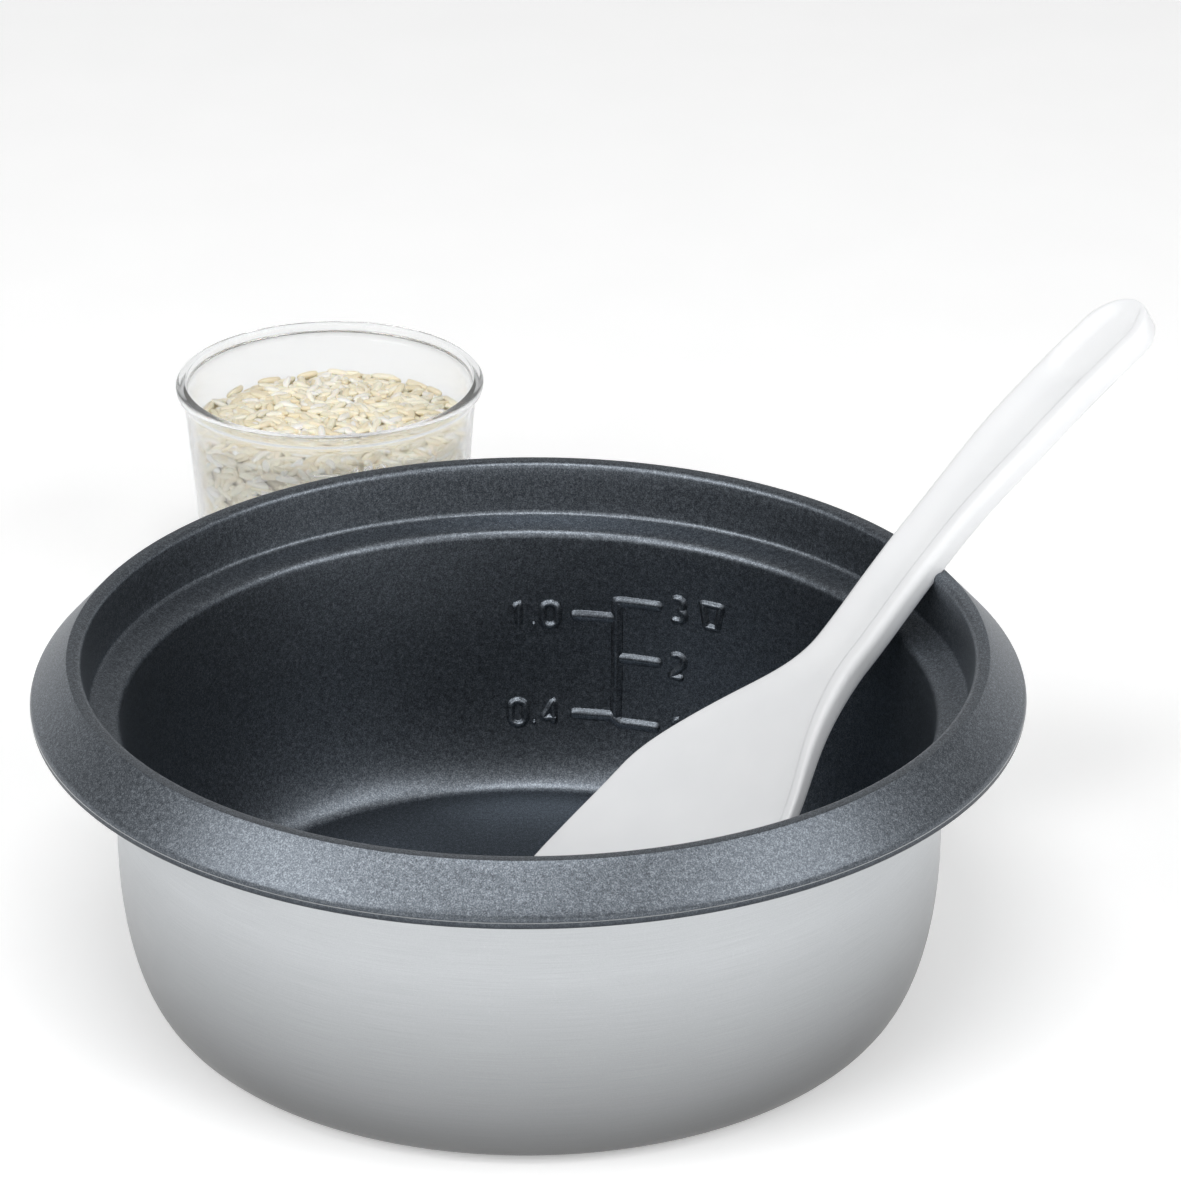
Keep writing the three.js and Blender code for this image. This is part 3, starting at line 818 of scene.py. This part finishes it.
# The sky's light by height and, added to it, by front and back: (Z or Y of the way, brightness).
SKY_UP = [(0.0, 0.85), (0.1, 0.8), (0.2, 0.24), (0.4, 0.2), (0.8, 0.22)]
SKY_BACK = [(-0.95, 0.4), (-0.5, 0.0), (0.3, 0.0), (0.9, 0.2)]
FLOOR_GLOW = 0.32

CAMERA_ELEVATION = math.radians(25.8)
CAMERA_DISTANCE = 1092 * MM
CAMERA_LENS = 153.6
SENSOR_WIDTH = 36
CAMERA_AIM = Vector((13.5, 4.9, 90)) * MM


def make_stage():
    shader = Shader("floor_paper")
    fibre = shader.noise(shader.place(), 30.0, 2.0)
    shader.set(Base_Color=shader.ramp(fibre, (0.3, (0.90, 0.90, 0.90)), (0.7, (0.92, 0.92, 0.92))))
    shader.set(Roughness=0.8, Emission_Color=(1, 1, 1, 1), Emission_Strength=FLOOR_GLOW)
    bpy.ops.mesh.primitive_plane_add(size=12, location=(0, 0, -0.0005))
    floor = bpy.context.object
    floor.name = "floor"
    floor.data.materials.append(shader.material)
    bpy.context.scene.view_settings.view_transform = "Standard"


def make_sky():
    """Soft light from all round: bright near the horizon, dim above, a little more in front and behind."""
    world = bpy.data.worlds.new("studio")
    bpy.context.scene.world = world
    world.use_nodes = True
    tree = world.node_tree
    way = tree.nodes.new("ShaderNodeSeparateXYZ")
    tree.links.new(tree.nodes.new("ShaderNodeTexCoord").outputs["Generated"], way.inputs["Vector"])
    total = None
    for axis, stops in (("Z", SKY_UP), ("Y", SKY_BACK)):
        spread = tree.nodes.new("ShaderNodeMapRange")
        spread.inputs["From Min"].default_value = -1
        tree.links.new(way.outputs[axis], spread.inputs["Value"])
        ramp = tree.nodes.new("ShaderNodeValToRGB")
        ramp.color_ramp.interpolation = "EASE"
        while len(ramp.color_ramp.elements) < len(stops):
            ramp.color_ramp.elements.new(0.5)
        for element, (level, light) in zip(ramp.color_ramp.elements, stops):
            element.position = (level + 1) / 2
            element.color = (light, light, light, 1)
        tree.links.new(spread.outputs["Result"], ramp.inputs["Fac"])
        if total is None:
            total = ramp.outputs["Color"]
            continue
        add = tree.nodes.new("ShaderNodeVectorMath")
        tree.links.new(total, add.inputs[0])
        tree.links.new(ramp.outputs["Color"], add.inputs[1])
        total = add.outputs["Vector"]
    tree.links.new(total, tree.nodes["Background"].inputs["Color"])
    tree.nodes["Background"].inputs["Strength"].default_value = 1.0


def softbox(name, place, target, size, power):
    """A rectangular light that faces a target."""
    light = bpy.data.lights.new(name, "AREA")
    light.shape = "RECTANGLE"
    light.size, light.size_y = size
    light.energy = power
    obj = bpy.data.objects.new(name, light)
    obj.location = place
    obj.rotation_euler = (Vector(target) - Vector(place)).to_track_quat("-Z", "Y").to_euler()
    bpy.context.scene.collection.objects.link(obj)


def make_lights():
    middle = Vector((0, 0, POT_HEIGHT / 2))
    for name, azimuth, elevation, distance, size, power in SOFTBOXES:
        turn, rise = math.radians(azimuth), math.radians(elevation)
        way = Vector((math.sin(turn) * math.cos(rise), math.cos(turn) * math.cos(rise), math.sin(rise)))
        softbox(name, middle + way * distance, middle, size, power)


def make_camera():
    """A long lens in front of the pot, at a distance from the middle of the rim's crest."""
    data = bpy.data.cameras.new("camera")
    data.lens, data.sensor_width = CAMERA_LENS, SENSOR_WIDTH
    data.clip_start, data.clip_end = 0.01, 50
    camera = bpy.data.objects.new("camera", data)
    back = Vector((0, -math.cos(CAMERA_ELEVATION), math.sin(CAMERA_ELEVATION)))
    camera.location = Vector((0, 0, POT_HEIGHT)) + back * CAMERA_DISTANCE
    camera.rotation_euler = (CAMERA_AIM - camera.location).to_track_quat("-Z", "Y").to_euler()
    bpy.context.scene.collection.objects.link(camera)
    bpy.context.scene.camera = camera


make_stage()
make_sky()
make_lights()
make_camera()

coating = nonstick_coating()
clear = clear_plastic()
make_pot(brushed_aluminium(), coating)
make_scale(coating)
make_paddle(white_plastic())
make_cup(clear)
make_rice(rice_grain(), rice_core())
